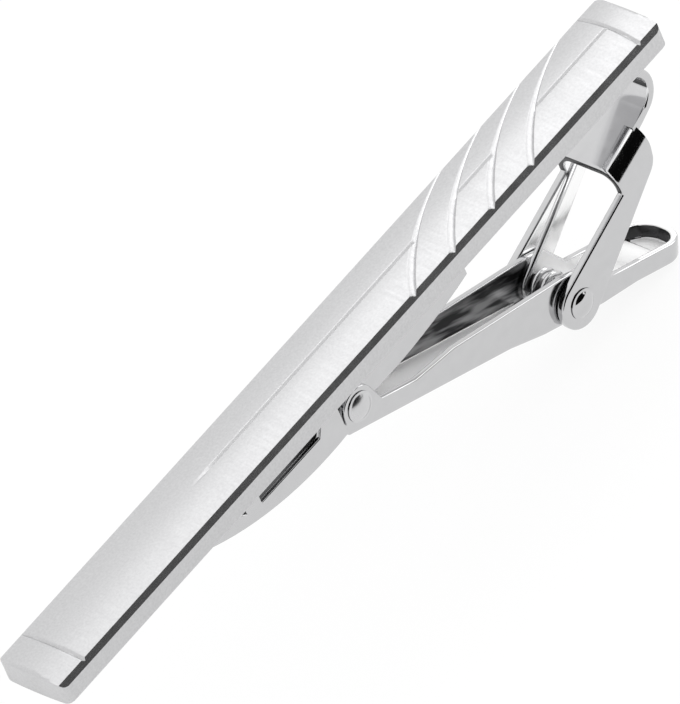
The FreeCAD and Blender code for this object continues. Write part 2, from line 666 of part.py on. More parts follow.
sub_parts = [
    front_bar(),
    hinge_bracket(),
    rivet("pivot_rivet", "pivot_forward", PIVOT_HEIGHT, "pivot_radius", ARCH_WIDTH),
    torsion_spring(),
    lever(),
    rivet("jaw_rivet", JAW_PIVOT_X, f"-{JAW_PIVOT_DROP}", "jaw_pivot_radius", "lever_width"),
    swivel_jaw(),
]
doc.recompute()

for item in doc.Objects:
    if "Invalid" in item.State or "Error" in item.State:
        raise RuntimeError(f"{item.Label} failed: {item.State}")
for part in sub_parts:
    if part.Shape.isNull() or not part.Shape.isValid() or len(part.Shape.Solids) != 1:
        raise RuntimeError(f"{part.Label} isn't one valid solid")

os.makedirs("parts", exist_ok=True)
for part in sub_parts:
    part.Shape.exportStep(f"parts/{part.Label}.step")
    box = part.Shape.BoundBox
    print(f"{part.Label}: volume {part.Shape.Volume:.3f}, x {box.XMin:.2f} to {box.XMax:.2f}, "
          f"y {box.YMin:.2f} to {box.YMax:.2f}, z {box.ZMin:.2f} to {box.ZMax:.2f}")
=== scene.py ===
# %% [markdown]
# # A pinch tie clip, dressed for its picture
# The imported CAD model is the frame: it gives every piece its place, in metres, and it knows how the
# lever and the jaw move. This lesson dresses that frame. It sets up a small metal studio, writes the
# finishes, and models again the pieces whose surfaces need more than a plain solid.

# %% Load the frame
import math

import bmesh
import bpy
from mathutils import Matrix, Vector


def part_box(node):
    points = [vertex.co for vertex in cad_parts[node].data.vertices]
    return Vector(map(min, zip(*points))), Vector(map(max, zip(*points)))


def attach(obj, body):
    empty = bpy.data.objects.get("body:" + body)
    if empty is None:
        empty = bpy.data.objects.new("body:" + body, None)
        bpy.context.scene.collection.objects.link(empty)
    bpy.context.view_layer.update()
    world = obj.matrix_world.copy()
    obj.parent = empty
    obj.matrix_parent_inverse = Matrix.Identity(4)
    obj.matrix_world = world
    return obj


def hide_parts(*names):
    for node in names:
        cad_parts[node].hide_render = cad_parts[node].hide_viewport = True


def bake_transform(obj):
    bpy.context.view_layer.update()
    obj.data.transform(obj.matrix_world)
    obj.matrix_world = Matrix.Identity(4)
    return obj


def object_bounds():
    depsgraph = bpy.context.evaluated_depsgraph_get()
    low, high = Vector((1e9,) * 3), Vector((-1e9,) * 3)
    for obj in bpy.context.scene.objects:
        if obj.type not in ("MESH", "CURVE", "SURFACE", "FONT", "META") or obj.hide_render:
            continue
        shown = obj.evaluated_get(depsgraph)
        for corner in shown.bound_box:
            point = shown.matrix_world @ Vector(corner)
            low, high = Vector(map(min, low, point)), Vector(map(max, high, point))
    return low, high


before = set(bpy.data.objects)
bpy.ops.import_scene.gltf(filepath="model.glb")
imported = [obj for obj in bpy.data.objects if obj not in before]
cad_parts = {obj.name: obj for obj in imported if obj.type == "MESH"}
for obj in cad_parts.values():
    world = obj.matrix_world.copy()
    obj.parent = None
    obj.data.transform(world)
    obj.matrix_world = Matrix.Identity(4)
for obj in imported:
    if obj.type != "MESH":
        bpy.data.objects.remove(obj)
cad_low, cad_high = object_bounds()
MM = 0.001

# %% [markdown]
# ## The camera
# The picture was taken from high on the left with a long lens, and the camera was rolled so that the
# bar runs from corner to corner. A long lens keeps parallel edges parallel, so 1300 mm is used here. The
# camera could be turned by angles, but its own axes, right, up and back, are easier to check by eye.


# %% Camera
def add_object(name, data):
    """Put a camera, lamp, curve or mesh into the scene as an object."""
    item = bpy.data.objects.new(name, data)
    bpy.context.scene.collection.objects.link(item)
    return item


VIEW_RIGHT = Vector((0.61342, -0.73201, -0.29643)).normalized()
VIEW_BACK = Vector((-0.40219, -0.61258, 0.68044)).normalized()
VIEW_UP = VIEW_BACK.cross(VIEW_RIGHT).normalized()
VIEW_CENTRE = Vector((0.4166, 0.1571, 0.0550)) * MM
VIEW_HEIGHT = 41.80 * MM
LENS = 1300.0
SENSOR = 36.0
NEAREST = 0.01
FARTHEST = 20.0
view_distance = VIEW_HEIGHT * LENS / SENSOR

camera_data = bpy.data.cameras.new("long_lens")
camera_data.lens = LENS
camera_data.sensor_width = SENSOR
camera_data.clip_start = NEAREST
camera_data.clip_end = FARTHEST
camera = add_object("camera", camera_data)
view_turn = Matrix((VIEW_RIGHT, VIEW_UP, VIEW_BACK)).transposed().to_4x4()
camera.matrix_world = Matrix.Translation(VIEW_CENTRE + VIEW_BACK * view_distance) @ view_turn
bpy.context.scene.camera = camera
bpy.context.scene.view_settings.view_transform = "Standard"
print(f"camera {view_distance:.3f} m away")

# %% [markdown]
# ## Helpers for materials
# Colours are written as sRGB hex, as a painter's swatch would be, and turned to linear light. One
# function adds any node, sets it up and links it, so that a material reads as a short list.


# %% Helpers for materials
def swatch(text):
    """sRGB hex to linear colour."""
    shares = [int(text[place:place + 2], 16) / 255 for place in (1, 3, 5)]
    return (*[s / 12.92 if s <= 0.04045 else ((s + 0.055) / 1.055) ** 2.4 for s in shares], 1.0)


def add_node(tree, kind, settings=None, inputs=None):
    """Add a node, set its properties, and give each input a value or a link."""
    node = tree.nodes.new(kind)
    for name, setting in (settings or {}).items():
        setattr(node, name, setting)
    for socket, source in (inputs or {}).items():
        if isinstance(source, bpy.types.NodeSocket):
            tree.links.new(source, node.inputs[socket])
        else:
            node.inputs[socket].default_value = source
    return node


def new_material(name):
    """An empty node material and its tree."""
    material = bpy.data.materials.new(name)
    material.use_nodes = True
    material.node_tree.nodes.clear()
    return material, material.node_tree


WHITE = swatch("#FFFFFF")
print("swatch test: white is", WHITE)

# %% [markdown]
# ## The studio
# Bright metal shows its surroundings, so the studio is most of its look. A picture of a studio wrapped
# round the scene would do, but a small set of paper, lamps and cards is easier to move about. White paper
# lies under the clip, and the room around it is white.

# %% Paper for the floor
PAPER_GRAIN = 2.5 * MM
PAPER_GLOW = 0.85

# White paper, matt, with a faint grain that is drawn coarser than real. It shows as white to the camera
# and in mirrors, and keeps a share of its own shading, so that the clip's shadow stays.
floor_paper, tree = new_material("floor_white_paper")
grain = add_node(tree, "ShaderNodeTexNoise", inputs={
    "Vector": add_node(tree, "ShaderNodeTexCoord").outputs["Object"], "Scale": 1 / PAPER_GRAIN,
    "Detail": 2.0})
paper_tone = add_node(tree, "ShaderNodeMix", {"data_type": "RGBA"}, {
    0: grain.outputs["Fac"], 6: swatch("#FAFAFA"), 7: swatch("#FDFDFD")})
paper = add_node(tree, "ShaderNodeBsdfPrincipled", inputs={
    "Base Color": paper_tone.outputs[2], "Roughness": 0.9, "Specular IOR Level": 0.0})
glow = add_node(tree, "ShaderNodeEmission", inputs={"Color": WHITE, "Strength": 1.0})
light_path = add_node(tree, "ShaderNodeLightPath")
seen = add_node(tree, "ShaderNodeMath", {"operation": "MAXIMUM"}, {
    0: light_path.outputs["Is Camera Ray"], 1: light_path.outputs["Is Glossy Ray"]})
seen_through = add_node(tree, "ShaderNodeMath", {"operation": "MAXIMUM"}, {
    0: seen.outputs[0], 1: light_path.outputs["Is Transmission Ray"]})
glow_share = add_node(tree, "ShaderNodeMath", {"operation": "MULTIPLY"}, {
    0: seen_through.outputs[0], 1: PAPER_GLOW})
floor_look = add_node(tree, "ShaderNodeMixShader", inputs={
    0: glow_share.outputs[0], 1: paper.outputs[0], 2: glow.outputs[0]})
add_node(tree, "ShaderNodeOutputMaterial", inputs={"Surface": floor_look.outputs[0]})
print("floor finish:", floor_paper.name)


# %% Floor and white room
def new_mesh(bm, name):
    """Turn a bmesh into a mesh and let the bmesh go."""
    mesh = bpy.data.meshes.new(name)
    bm.to_mesh(mesh)
    bm.free()
    return mesh


FLOOR_HALF = 1.5
floor_height = cad_low.z

bm = bmesh.new()
bmesh.ops.create_grid(bm, x_segments=4, y_segments=4, size=FLOOR_HALF)
bmesh.ops.translate(bm, verts=bm.verts, vec=(0, 0, floor_height))
floor = add_object("floor", new_mesh(bm, "floor"))
floor.data.materials.append(floor_paper)

world = bpy.data.worlds.new("white_studio")
bpy.context.scene.world = world
world.use_nodes = True
world.node_tree.nodes.clear()
room = add_node(world.node_tree, "ShaderNodeBackground", inputs={"Color": WHITE, "Strength": 1.0})
add_node(world.node_tree, "ShaderNodeOutputWorld", inputs={"Surface": room.outputs[0]})
print(f"floor at {floor_height / MM:.2f} mm, room {world.name}")

# %% [markdown]
# ## The softboxes
# A softbox is a lamp behind white cloth. Metal shows its face more than its light, so each is described
# by how bright that face looks, and an area lamp of the same size has just such a face. The one close
# over the hinge end gives the satin bar its change from grey to white.


# %% Softboxes
def facing(place):
    """A turn that points -Z from a place at the clip's origin."""
    return (-place).to_track_quat("-Z", "Y").to_matrix().to_4x4()


def softbox(name, direction, distance, width, height, radiance):
    """A rectangular lamp whose face shows at the given radiance."""
    lamp = bpy.data.lights.new(name, "AREA")
    lamp.shape = "RECTANGLE"
    lamp.size = width
    lamp.size_y = height
    lamp.energy = radiance * math.pi * width * height
    place = Vector(direction).normalized() * distance
    add_object(name, lamp).matrix_world = Matrix.Translation(place) @ facing(place)
    print(f"{name}: {lamp.energy:.4f} W")


softbox("softbox_over", direction=(0.105, 0.060, 0.1445), distance=0.188, width=0.10, height=0.11,
        radiance=0.85)
softbox("softbox_top", direction=(0.16, -0.12, 0.98), distance=0.30, width=0.22, height=0.06, radiance=0.9)
softbox("softbox_end", direction=(0.90, -0.24, 0.34), distance=0.30, width=0.20, height=0.20, radiance=1.6)
softbox("softbox_small", direction=(0.71, -0.70, 0.12), distance=0.36, width=0.05, height=0.07,
        radiance=1.4)

# %% [markdown]
# ## The card and the curtain
# Dark cards round a set give bright metal its dark lines: here the line along the bar's bevel and the
# black bands in the bent sheet. A real card would also shade the paper, so these are hidden from the
# camera, from matt surfaces and from shadows, and only mirrors see them.


# %% Card and curtain
def mirror_card(bm, name, tone):
    """A dark felt card that only mirrors see."""
    material, tree = new_material(f"{name}_felt")
    felt = add_node(tree, "ShaderNodeEmission", inputs={"Color": swatch(tone), "Strength": 1.0})
    add_node(tree, "ShaderNodeOutputMaterial", inputs={"Surface": felt.outputs[0]})
    card = add_object(name, new_mesh(bm, name))
    card.data.materials.append(material)
    card.visible_camera = False
    card.visible_diffuse = False
    card.visible_shadow = False
    print(f"{name}: {tone}")


def flat_card(name, direction, distance, width, height, tone):
    """A flat card that faces the clip."""
    bm = bmesh.new()
    bmesh.ops.create_grid(bm, x_segments=1, y_segments=1, size=0.5)
    bmesh.ops.scale(bm, verts=bm.verts, vec=(width, height, 1))
    place = Vector(direction).normalized() * distance
    bm.transform(Matrix.Translation(place) @ facing(place))
    mirror_card(bm, name, tone)


CURTAIN_STEPS = 32


def curtain(name, radius, low, high, start, sweep, tone):
    """A strip bent round the front of the set, spun from one upright edge."""
    bm = bmesh.new()
    foot = bm.verts.new((radius * math.cos(start), radius * math.sin(start), low))
    head = bm.verts.new((foot.co.x, foot.co.y, high))
    edge = bm.edges.new((foot, head))
    bmesh.ops.spin(bm, geom=[foot, head, edge], cent=(0, 0, 0), axis=(0, 0, 1), angle=sweep,
                   steps=CURTAIN_STEPS, use_merge=False)
    mirror_card(bm, name, tone)


flat_card("card_grey", direction=(0.402, -0.680, 0.613), distance=0.36, width=0.18, height=0.15,
          tone="#616161")
curtain("curtain_black", radius=0.42, low=floor_height, high=1.25, start=math.radians(-150),
        sweep=math.radians(116), tone="#0C0C0C")

# %% [markdown]
# ## The satin finish
# The bar was drawn across a fine belt before it was plated, so its shine is wide and has short strokes
# across the bar. A noise that is stretched along the strokes gives both the roughness and a slight bump,
# and a second, even noise gives the plate's fine mottle. Real strokes are about 0.02 mm wide, too fine to
# show, so they are drawn at 0.12 mm.

# %% Satin plate
# The strokes are drawn coarser than real ones.
STROKE_WIDTH = 0.12 * MM
STROKE_LENGTH = 2.5 * MM
MOTTLE = 0.16 * MM
STROKE_RELIEF = 0.02 * MM


def satin_plate():
    """Satin rhodium plate, brushed across the bar: a broad soft shine with fine strokes along Y."""
    material, tree = new_material("satin_brushed_plate")
    place = add_node(tree, "ShaderNodeTexCoord").outputs["Object"]
    stroke_place = add_node(tree, "ShaderNodeMapping", inputs={
        "Vector": place, "Scale": (1 / STROKE_WIDTH, 1 / STROKE_LENGTH, 1 / STROKE_LENGTH)})
    strokes = add_node(tree, "ShaderNodeTexNoise", inputs={
        "Vector": stroke_place.outputs[0], "Scale": 1.0, "Detail": 3.0, "Roughness": 0.6})
    mottle = add_node(tree, "ShaderNodeTexNoise", inputs={
        "Vector": place, "Scale": 1 / MOTTLE, "Detail": 2.0, "Roughness": 0.6})
    rough = add_node(tree, "ShaderNodeMapRange", inputs={
        "Value": strokes.outputs["Fac"], "From Min": 0.3, "From Max": 0.7, "To Min": 0.34, "To Max": 0.44})
    tone = add_node(tree, "ShaderNodeMix", {"data_type": "RGBA"}, {
        0: mottle.outputs["Fac"], 6: swatch("#C0C0C1"), 7: swatch("#DADADB")})
    bump = add_node(tree, "ShaderNodeBump", inputs={
        "Height": strokes.outputs["Fac"], "Strength": 0.08, "Distance": STROKE_RELIEF})
    shine = add_node(tree, "ShaderNodeBsdfPrincipled", inputs={
        "Base Color": tone.outputs[2], "Metallic": 1.0, "Roughness": rough.outputs[0],
        "Normal": bump.outputs[0]})
    add_node(tree, "ShaderNodeOutputMaterial", inputs={"Surface": shine.outputs[0]})
    return material


satin = satin_plate()
print("finish:", satin.name)

# %% [markdown]
# ## The bright finishes
# The sheet, the rivets and the wire are plated too, but bright: tumbling leaves a mirror with a faint
# orange peel. Some copies of the same plate get darker tones as painted shade and paler ones as painted
# light, and the wire keeps some roughness from the drawing die. So one function makes them all, from
# two tones and a range of roughness.

# %% Bright plate
PEEL = 0.9 * MM
PEEL_RELIEF = 0.01 * MM


def bright_plate(name, low, high, roughness):
    """Bright plate on worked metal: a mirror of the given tones with a faint orange peel."""
    material, tree = new_material(name)
    place = add_node(tree, "ShaderNodeTexCoord").outputs["Object"]
    peel = add_node(tree, "ShaderNodeTexNoise", inputs={"Vector": place, "Scale": 1 / PEEL, "Detail": 1.0})
    smoothest, roughest = roughness
    rough = add_node(tree, "ShaderNodeMapRange", inputs={
        "Value": peel.outputs["Fac"], "From Min": 0.3, "From Max": 0.7, "To Min": smoothest,
        "To Max": roughest})
    tone = add_node(tree, "ShaderNodeMix", {"data_type": "RGBA"}, {
        0: peel.outputs["Fac"], 6: swatch(low), 7: swatch(high)})
    bump = add_node(tree, "ShaderNodeBump", inputs={
        "Height": peel.outputs["Fac"], "Strength": 0.02, "Distance": PEEL_RELIEF})
    shine = add_node(tree, "ShaderNodeBsdfPrincipled", inputs={
        "Base Color": tone.outputs[2], "Metallic": 1.0, "Roughness": rough.outputs[0],
        "Normal": bump.outputs[0]})
    add_node(tree, "ShaderNodeOutputMaterial", inputs={"Surface": shine.outputs[0]})
    print("finish:", name)
    return material


# Chrome on the spun rivet, the sharpest mirror of all.
bright = bright_plate("bright_chrome_sheet", "#C4C4C5", "#CACACB", (0.05, 0.09))
# The bar's bevel, cut bright by a tool: it blurs the curtain into one dark line.
bright_cut = bright_plate("bright_cut_bevel", "#BEBEBF", "#C6C6C7", (0.20, 0.26))
# Hard drawn wire, with soft highlights along its turns.
drawn_wire = bright_plate("drawn_spring_wire", "#C6C6C7", "#D2D2D3", (0.14, 0.20))
# Tumbled sheet, a slightly soft mirror.
soft_bright = bright_plate("soft_bright_sheet", "#C4C4C5", "#CBCBCC", (0.11, 0.15))
# Nearly black: painted shade and painted dark reflection, on the arch's cut front and round the tail's pan.
painted_shade_dark = bright_plate("painted_shade_dark_edge", "#404041", "#4E4E4F", (0.20, 0.30))
# A rivet head that the punch left brushed, with a wide soft shine.
brushed_inside = bright_plate("brushed_inside_sheet", "#CACACB", "#D2D2D3", (0.22, 0.28))
# The strip's inner face in the hook, a clear mirror that bends what it shows.
bright_inside = bright_plate("bright_inside_plate", "#CACACB", "#D6D6D7", (0.09, 0.14))
# Near white between the bracket's legs and under its plate: painted light in the opening.
painted_light_white = bright_plate("painted_light_white_inside", "#FAFAFA", "#FDFDFD", (0.14, 0.20))
# A pale mirror, paler than the rest of the plate: painted light on the bar's back and the bracket's near
# bend.
painted_highlight_pale = bright_plate("painted_highlight_pale_plate", "#EAEAEB", "#F0F0F1", (0.08, 0.12))
# Painted shade, a dull grey, inside the jaw's channel and on the rivets' shanks.
painted_shade_inside = bright_plate("painted_shade_inside_sheet", "#6C6C6D", "#7A7A7B", (0.30, 0.38))

# %% [markdown]
# ## The lever's insides
# Tumbling doesn't reach into the lever. Its long walls are painted dark as painted shade, with bright
# streaks along the lever as painted reflection, and its floor and the walls by the coil are painted white as
# painted light. The streaks are a noise that is turned to the lever's slope and stretched along it.

# %% Frosted plate
PAINTED_LIGHT_MOTTLE = 0.5 * MM


def painted_light_plate(name, metallic, roughness):
    """Plate painted near white as painted light, with a soft sheen."""
    material, tree = new_material(name)
    place = add_node(tree, "ShaderNodeTexCoord").outputs["Object"]
    light_mottle = add_node(tree, "ShaderNodeTexNoise", inputs={"Vector": place, "Scale": 1 / PAINTED_LIGHT_MOTTLE, "Detail": 3.0})
    tone = add_node(tree, "ShaderNodeMix", {"data_type": "RGBA"}, {
        0: light_mottle.outputs["Fac"], 6: swatch("#FAFAFA"), 7: swatch("#FEFEFE")})
    shine = add_node(tree, "ShaderNodeBsdfPrincipled", inputs={
        "Base Color": tone.outputs[2], "Metallic": metallic, "Roughness": roughness})
    add_node(tree, "ShaderNodeOutputMaterial", inputs={"Surface": shine.outputs[0]})
    print("finish:", name)
    return material


# The walls by the coil, painted light: white with some sheen.
painted_light_walls = painted_light_plate("painted_light_wall_plate", metallic=0.75, roughness=0.42)
# The lever's floor, painted light: nearly a matt white.
painted_light_floor = painted_light_plate("painted_light_floor_plate", metallic=0.2, roughness=0.6)

# %% Die-lined sheet
LEVER_TILT = math.radians(24.9)
STREAK_SIZES = (3.0 * MM, 0.6 * MM, 0.45 * MM)


def painted_shade_streak_sheet():
    """The lever's inside wall: dark with painted shade, and painted streaks of reflection along the lever.
    """
    material, tree = new_material("painted_shade_streaked_sheet")
    place = add_node(tree, "ShaderNodeTexCoord").outputs["Object"]
    streak_place = add_node(tree, "ShaderNodeMapping", {"vector_type": "TEXTURE"}, {
        "Vector": place, "Rotation": (0, LEVER_TILT, 0), "Scale": STREAK_SIZES})
    streaks = add_node(tree, "ShaderNodeTexNoise", inputs={
        "Vector": streak_place.outputs[0], "Scale": 1.0, "Detail": 2.0, "Roughness": 0.5})
    streak_light = add_node(tree, "ShaderNodeMapRange", inputs={
        "Value": streaks.outputs["Fac"], "From Min": 0.42, "From Max": 0.66})
    tone = add_node(tree, "ShaderNodeMix", {"data_type": "RGBA"}, {
        0: streak_light.outputs[0], 6: swatch("#3C3C3D"), 7: swatch("#A4A4A5")})
    shine = add_node(tree, "ShaderNodeBsdfPrincipled", inputs={
        "Base Color": tone.outputs[2], "Metallic": 1.0, "Roughness": 0.3})
    add_node(tree, "ShaderNodeOutputMaterial", inputs={"Surface": shine.outputs[0]})
    return material


painted_shade_streaked = painted_shade_streak_sheet()
print("finish:", painted_shade_streaked.name)

# %% [markdown]
# ## The bar
# On the real clip the bar is rolled strip with a low crown. Its long edges are cut at 45 degrees with a
# bright tool, a wheel cuts four curved slanting grooves, and a graver draws the lines. Cutting solids
# would leave knife edges and long thin faces. Here one grid is laid over the bar's plan instead: its
# columns lean with the grooves and its rows follow the bevel's edge, so every crease lies on grid lines.

# %% The bar's body, in millimetres
bar_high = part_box("front_bar")[1]
BAR_HALF = bar_high.x / MM
BAR_SIDE = bar_high.y / MM
BAR_TOP = bar_high.z / MM
SIDE_HEIGHT = 1.33
CROWN = 0.28
# The ends bulge a little and have a small bevel. Their corners are rounder on the far side.
STRAIGHT_END = 28.0
END_BULGE = 0.09
END_CORNERS = (0.45, 0.8)
END_BEVEL = 0.16
shoulder = BAR_SIDE - (BAR_TOP - CROWN - SIDE_HEIGHT)
crown_radius = (shoulder ** 2 + CROWN ** 2) / (2 * CROWN)
print(f"bar {2 * BAR_HALF:.1f} x {2 * BAR_SIDE:.1f} mm, crown radius {crown_radius:.1f} mm")

# %% [markdown]
# ### The cuts in the bar
# The wheel leans over as it cuts, so each slanting groove has a long ramp, a steep wall and a curved path.
# The end grooves and the middle line are plain V cuts. All are shallow, so each is told as a depth under
# the crown at every place of the bar's plan, and where two meet, the deeper one counts.

# %% The bar's cuts, in millimetres
# The slanting grooves. SLANT_RAMP and SLANT_WALL say how wide each side is for its depth.
SLANT_FIRST = 8.51
SLANT_SPACING = 3.83
SLANT_COUNT = 4
SLANT_ANGLE = math.radians(30)
SLANT_DEPTH = 0.17
SLANT_PEAK = 0.5
SLANT_RAMP = 3.2
SLANT_WALL = 0.9
SLANT_EASE = 1.25
WHEEL_RADIUS = 21.6
WHEEL_LEAN = math.radians(25.7)
slant_marks = [SLANT_FIRST + number * SLANT_SPACING for number in range(SLANT_COUNT)]
# The grooves near the ends.
CAP_LINE = 27.2
CAP_LEFT = 26.65
CAP_DEPTH = 0.11
CAP_HALF = 0.15
# The middle line: it fades in on the left, and skips every other field between the slanting grooves.
LINE_START = -12.6
LINE_DEPTH = 0.10
LINE_SLOPES = (0.08, 0.20)
LINE_FADE = 1.2
LINES = [(LINE_START, slant_marks[0]), (slant_marks[1], slant_marks[2]), (slant_marks[3], CAP_LINE)]
print("slanting grooves at", [round(mark, 2) for mark in slant_marks])

# %% The crown and the wheel's cut
# The wheel's path is found by going round until it settles.
WHEEL_ROUNDS = 14


def crown_height(y):
    """The crowned face before any cut."""
    return BAR_TOP - crown_radius + math.sqrt(crown_radius ** 2 - y ** 2)


def wheel_cut(y):
    """How far along X the wheel's path has run at y, and how deep it is under the crown there."""
    along = 0.0
    for _ in range(WHEEL_ROUNDS):
        sink = WHEEL_RADIUS - math.sqrt(WHEEL_RADIUS ** 2 - along ** 2)
        lean = sink * math.cos(WHEEL_LEAN)
        along = (y - SLANT_PEAK + lean * math.cos(SLANT_ANGLE)) / math.sin(SLANT_ANGLE)
    run = along * math.cos(SLANT_ANGLE) + lean * math.sin(SLANT_ANGLE)
    floor_at = crown_height(SLANT_PEAK) - SLANT_DEPTH - sink * math.sin(WHEEL_LEAN)
    return SLANT_PEAK / math.tan(SLANT_ANGLE) + run, crown_height(y) - floor_at


print(f"a slanting groove is {wheel_cut(0)[1]:.2f} mm deep in the middle")

# %% Every cut as a depth, and how the columns lean
# Columns start to lean on the left, lean fully among the grooves and stand straight again at the end.
LEAN_START = -6.0
LEAN_FULL = 6.0
LEAN_END = 27.0
LEAN_EASE = 6.0


def cut_depth(u, y, wheel_depth):
    """Depth of every groove and line at column u and height y of the plan."""
    depth = 0.0
    for mark in slant_marks:
        reach = wheel_depth * (SLANT_RAMP if u < mark else SLANT_WALL)
        share = max(0.0, 1 - abs(u - mark) / reach)
        depth = max(depth, wheel_depth * (share ** SLANT_EASE if u < mark else share))
    bow = END_BULGE * (y / BAR_SIDE) ** 2
    cap = CAP_LINE if u > 0 else CAP_LEFT
    depth = max(depth, CAP_DEPTH * max(0.0, 1 - abs(abs(u) - cap + bow) / CAP_HALF))
    for start, stop in LINES:
        if start < u < stop:
            fade = min(1.0, (u - start) / LINE_FADE) if start == LINE_START else 1.0
            depth = max(depth, fade * LINE_DEPTH * max(0.0, 1 - abs(y) / LINE_SLOPES[y > 0]))
    return depth


def lean_share(u):
    """How much of the wheel's path a column follows: all of it among the grooves, none at the ends."""
    return max(0.0, min(1.0, (u - LEAN_START) / (LEAN_FULL - LEAN_START), (LEAN_END - u) / LEAN_EASE))


print(f"the column in the bar's middle leans {lean_share(0):.0%}")

# %% [markdown]
# ### The grid for the bar
# A surface made of heights is only as crisp as its grid, and an even grid that is fine enough for the
# grooves would have over 200,000 faces. So one rectangle is cut by planes instead, closely where a cut
# bends the surface and widely where the bar is plain, and its points are then moved into place.


# %% Choose the grid's columns
def steps(start, stop, size):
    """Even steps from start to stop, without the last."""
    count = max(1, round((stop - start) / size))
    return [start + (stop - start) * number / count for number in range(count)]


# Steps are fine where a cut bends the surface, and long on the plain stretches.
TIP_STEP = 0.1
CAP_STEP = 0.15
CAP_FINE = 0.05
CAP_OUTER = 0.25
CAP_INNER = 0.45
PLAIN_STEP = 0.6
RAMP_STEP = 0.07
RAMP_REACH = 1.7
WALL_STEP = 0.035
WALL_REACH = 0.49
FIELD_STEP = 0.3
LAST_STEP = 0.4
columns = steps(-BAR_HALF, -STRAIGHT_END, TIP_STEP)
columns += steps(-STRAIGHT_END, -CAP_LEFT - CAP_OUTER, CAP_STEP)
columns += steps(-CAP_LEFT - CAP_OUTER, -CAP_LEFT + CAP_INNER, CAP_FINE)
columns += steps(-CAP_LEFT + CAP_INNER, SLANT_FIRST - RAMP_REACH, PLAIN_STEP)
for mark in slant_marks:
    next_ramp = mark + SLANT_SPACING - RAMP_REACH
    columns += steps(mark - RAMP_REACH, mark, RAMP_STEP)
    columns += steps(mark, mark + WALL_REACH, WALL_STEP)
    columns += steps(mark + WALL_REACH, next_ramp, FIELD_STEP)
columns += steps(next_ramp, CAP_LINE - CAP_INNER, LAST_STEP)
columns += steps(CAP_LINE - CAP_INNER, CAP_LINE + CAP_OUTER, CAP_FINE)
columns += steps(CAP_LINE + CAP_OUTER, STRAIGHT_END, CAP_STEP)
columns += steps(STRAIGHT_END, BAR_HALF, TIP_STEP)
print(len(columns), "columns")

# %% Choose the grid's rows
# Row 0 is the middle, row 1 the bevel's top and row 2 the side.
LINE_ROW = 0.04
LINE_ROWS = 7
CROWN_STEP = 0.055
BEVEL_STEP = 0.2
SIDE_ROW = 2.0
half_rows = [number * LINE_ROW / shoulder for number in range(1, LINE_ROWS)]
half_rows += steps(LINE_ROWS * LINE_ROW / shoulder, 1.0, CROWN_STEP) + steps(1.0, SIDE_ROW, BEVEL_STEP)
rows = [-row for row in reversed(half_rows)] + [0.0] + half_rows
print(len(rows), "rows")


# %% Lay the grid, cut by cut
def cut_through(bm, place, direction, snap):
    """Cut everything by one plane."""
    everything = bm.verts[:] + bm.edges[:] + bm.faces[:]
    bmesh.ops.bisect_plane(bm, geom=everything, dist=snap, plane_co=place, plane_no=direction)


GRID_SNAP = 1e-5
bm = bmesh.new()
bmesh.ops.create_grid(bm, x_segments=1, y_segments=1, size=1.0)
bmesh.ops.scale(bm, verts=bm.verts, vec=(BAR_HALF, SIDE_ROW, 1.0))
for column in columns[1:]:
    cut_through(bm, (column, 0, 0), (1, 0, 0), GRID_SNAP)
for row in rows:
    cut_through(bm, (0, row, 0), (0, 1, 0), GRID_SNAP)
print("bar grid:", len(bm.faces), "faces")

# %% Raise the grid to the bar's shape
# A groove moves the bevel's edge, and a few rounds find where it ends up.
EDGE_ROUNDS = 6


def bar_point(u, row):
    """Where the grid point at column u and a row goes."""
    side = -1 if row < 0 else 1
    edge = shoulder
    for _ in range(EDGE_ROUNDS):
        cut = cut_depth(u, side * edge, wheel_cut(side * edge)[1])
        edge = SIDE_HEIGHT + BAR_SIDE - crown_height(edge) + cut
    reach = abs(row)
    y = side * (reach * edge if reach <= 1 else edge + (BAR_SIDE - edge) * (reach - 1))
    run, wheel_depth = wheel_cut(y)
    x = u + lean_share(u) * run
    corner = END_CORNERS[y > 0]
    over = abs(y) - (BAR_SIDE - corner)
    tip = BAR_HALF - END_BULGE * (y / BAR_SIDE) ** 2
    if over > 0:
        tip -= corner - math.sqrt(max(0.0, corner ** 2 - over ** 2))
    if abs(u) > STRAIGHT_END:
        along = (abs(u) - STRAIGHT_END) / (BAR_HALF - STRAIGHT_END)
        x = math.copysign(STRAIGHT_END + (tip - STRAIGHT_END) * along, u)
    height = crown_height(y) - cut_depth(u, y, wheel_depth)
    height = min(height, SIDE_HEIGHT + BAR_SIDE - abs(y), BAR_TOP - END_BEVEL + tip - abs(x))
    return Vector((x, y, height)) * MM


for vertex in bm.verts:
    vertex.co = bar_point(vertex.co.x, vertex.co.y)
print(f"bar top at {max(vertex.co.z for vertex in bm.verts) / MM:.2f} mm")

# %% [markdown]
# ### The bar's back and its finishes
# The strip's back is flat, and its edges there are only eased. So the grid's rim is pulled down to the
# back, the hole is filled and a narrow bevel goes round it. The finishes could be painted on by hand, but
# which way a face looks already tells a cut bevel, the back and the satin apart.

# %% Close the bar and ease its back edges
BACK_LEVEL = 1e-6
BACK_EASING = 0.08 * MM
BACK_CORNER = math.radians(40)

rim = [edge for edge in bm.edges if edge.is_boundary]
walls = bmesh.ops.extrude_edge_only(bm, edges=rim)["geom"]
for vertex in [item for item in walls if isinstance(item, bmesh.types.BMVert)]:
    vertex.co.z = 0.0
foot = [edge for edge in bm.edges if edge.is_boundary]
bmesh.ops.holes_fill(bm, edges=foot, sides=0)
bmesh.ops.recalc_face_normals(bm, faces=bm.faces)
corners = [edge for edge in bm.edges if edge.is_manifold and edge.calc_face_angle() > BACK_CORNER
           and max(vertex.co.z for vertex in edge.verts) < BACK_LEVEL]
bmesh.ops.bevel(bm, geom=corners, affect="EDGES", offset=BACK_EASING, segments=2, profile=0.5, material=-1,
                clamp_overlap=True)
print("eased", len(corners), "edges of the bar's back")


